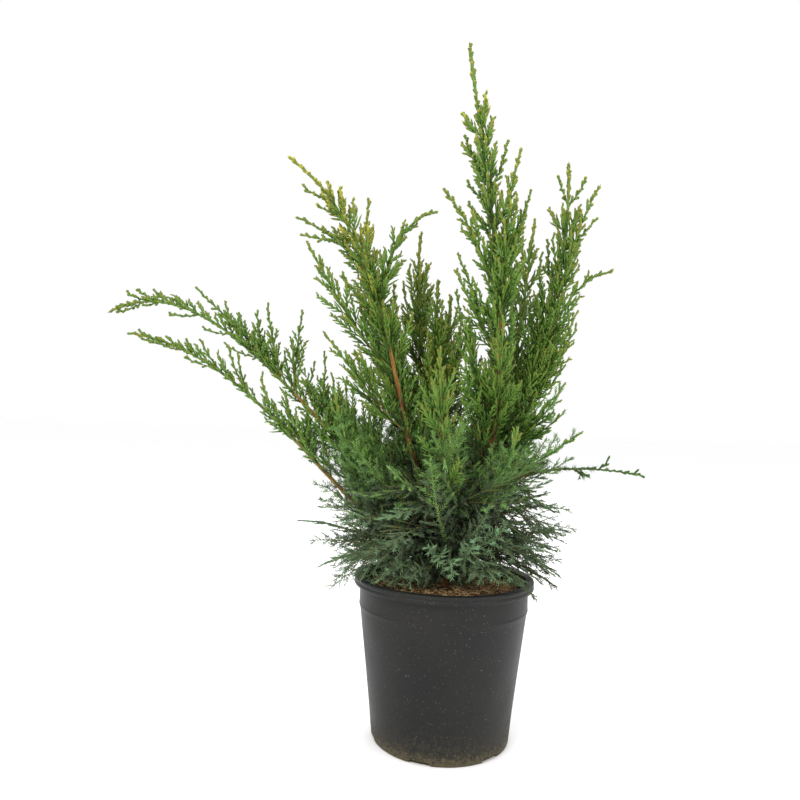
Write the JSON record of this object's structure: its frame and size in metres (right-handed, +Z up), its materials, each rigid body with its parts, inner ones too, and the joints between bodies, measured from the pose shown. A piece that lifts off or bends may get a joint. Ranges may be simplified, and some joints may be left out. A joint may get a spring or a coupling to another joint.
{
  "type": "potted sea green juniper",
  "caption": "Young spreading juniper with arching boughs, feathery green plumes and a skirt of blue-green sprays, growing in a round black nursery pot.",
  "frame": {"origin": "centre of the pot's flat underside", "axes": "+Z up through the pot; -Y towards the viewer of the picture; the long low arches reach out along -X"},
  "size_m": [0.6105, 0.3122, 0.7451],
  "materials": {
    "pot_plastic": "satin black moulded polypropylene, dusty near the foot",
    "compost": "moist dark compost strewn with dead needles",
    "bark": "thin red-brown bark that flakes in strips",
    "foliage_bright": "yellow-green scale leaves on the new tips",
    "foliage_mid": "mid-green scale leaves",
    "foliage_deep": "deep green scale leaves low in the crown",
    "foliage_blue": "blue-green awl-shaped young needles"
  },
  "bodies": {
    "root": {"pot": "pot_plastic", "compost": "compost", "trunk": "bark", "leader_left": "bark", "leader_right": "bark", "arch_left_low": "bark", "arch_left_high": "bark", "leader_centre": "bark", "stem_left_back": "bark", "stem_right": "bark", "stem_right_back": "bark", "stem_back": "bark", "arch_back_left": "bark", "arch_right_low": "bark", "plume_leader_left": "foliage_bright", "plume_leader_right": "foliage_bright", "plume_arch_left_low": "foliage_mid", "plume_arch_left_high": "foliage_mid", "plume_leader_centre": "foliage_bright", "plume_stem_left_back": "foliage_bright", "plume_stem_right": "foliage_bright", "plume_stem_right_back": "foliage_bright", "plume_stem_back": "foliage_bright", "plume_arch_back_left": "foliage_mid", "plume_arch_right_low": "foliage_mid", "plume_arch_left_low_inner": "foliage_mid", "plume_arch_left_low_front": "foliage_mid", "plume_arch_left_high_outer": "foliage_bright", "plume_arch_left_high_middle": "foliage_mid", "plume_arch_left_high_inner": "foliage_mid", "plume_leader_left_low": "foliage_mid", "plume_leader_left_outer": "foliage_bright", "plume_leader_left_side": "foliage_bright", "plume_leader_left_inner": "foliage_bright", "plume_leader_left_skirt": "foliage_deep", "plume_leader_centre_front": "foliage_mid", "plume_leader_right_inner": "foliage_bright", "plume_leader_right_low": "foliage_mid", "plume_leader_right_outer": "foliage_bright", "plume_leader_right_front": "foliage_bright", "plume_leader_right_base": "foliage_mid", "plume_leader_right_skirt_high": "foliage_mid", "plume_leader_right_skirt_middle": "foliage_deep", "plume_leader_right_skirt_right": "foliage_deep", "plume_stem_right_high": "foliage_bright", "plume_stem_right_middle": "foliage_bright", "plume_stem_right_low": "foliage_mid", "plume_stem_right_base": "foliage_deep", "plume_stem_right_skirt": "foliage_deep", "plume_stem_back_side": "foliage_mid", "skirt_spray_1": "foliage_blue", "skirt_spray_2": "foliage_blue", "skirt_spray_3": "foliage_blue", "skirt_spray_4": "foliage_blue", "skirt_spray_5": "foliage_blue", "skirt_spray_6": "foliage_blue", "skirt_spray_7": "foliage_blue", "skirt_spray_8": "foliage_blue", "skirt_spray_9": "foliage_blue"}
  },
  "joints": []
}
